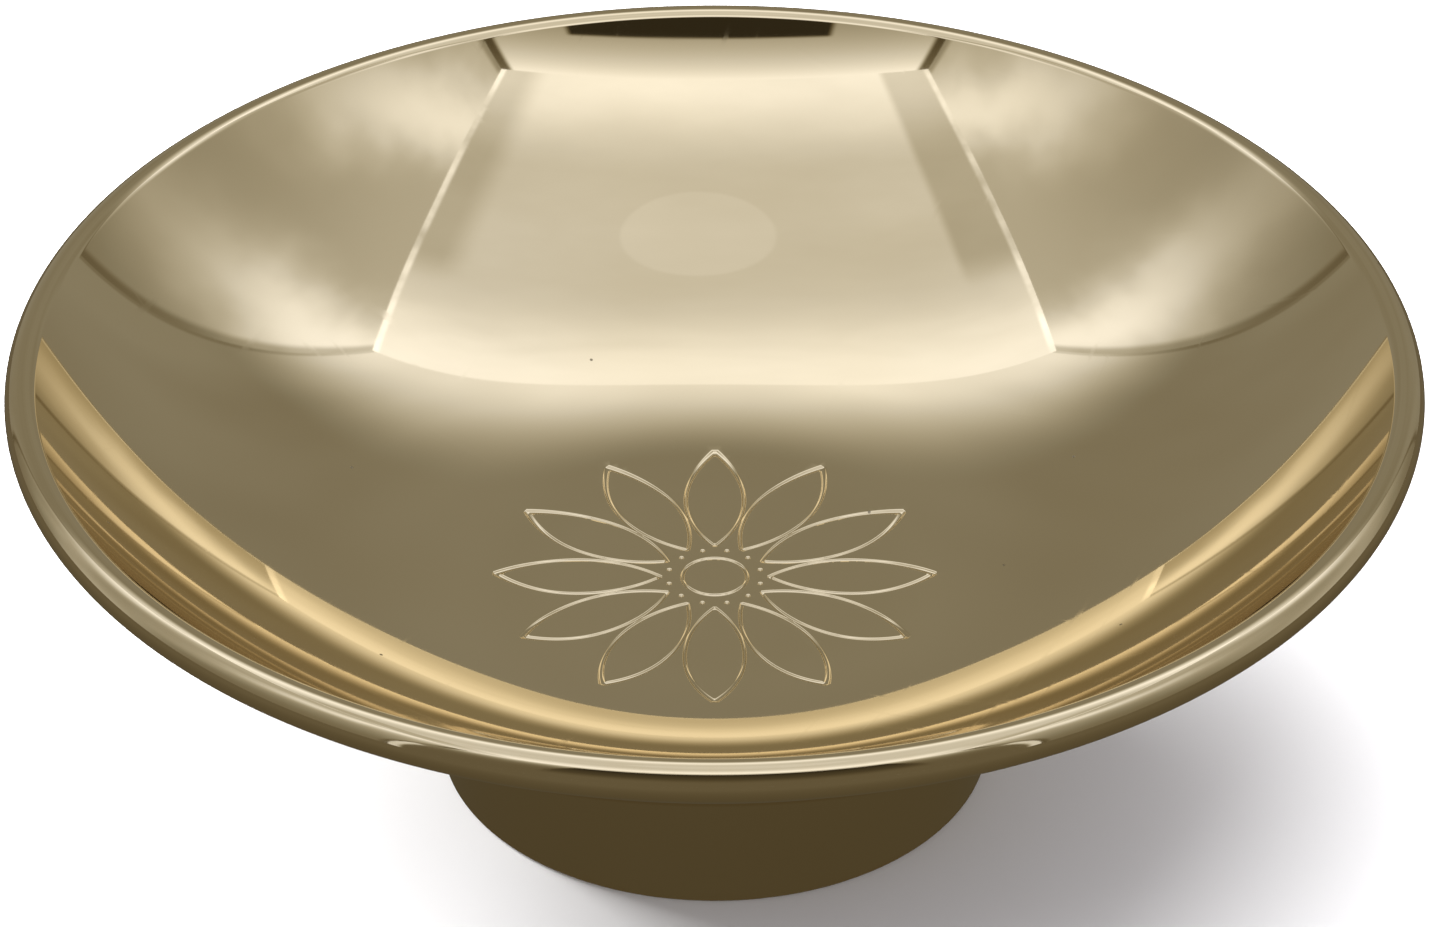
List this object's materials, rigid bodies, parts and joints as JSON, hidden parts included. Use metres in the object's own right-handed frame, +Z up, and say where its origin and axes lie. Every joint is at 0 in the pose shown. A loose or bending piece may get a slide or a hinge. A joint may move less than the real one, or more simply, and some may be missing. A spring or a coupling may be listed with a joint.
{
  "type": "footed sake cup",
  "caption": "Shallow footed ceremonial sake cup in polished pale-gold plated brass, with a round lip, an engraved flower on its floor and a plain foot ring.",
  "frame": {"origin": "middle of the circle that the foot ring stands on", "axes": "+Z up along the cup's axis, from the foot to the mouth; +X runs along the middle of one engraved petal"},
  "size_m": [0.09, 0.09, 0.03],
  "materials": {
    "gold_plate": "mirror-polished pale champagne-gold plating over brass, with fine polishing lines and light handling scratches"
  },
  "bodies": {
    "root": {"bowl": "gold_plate", "foot_ring": "gold_plate", "braze_seam": "gold_plate"}
  },
  "joints": []
}
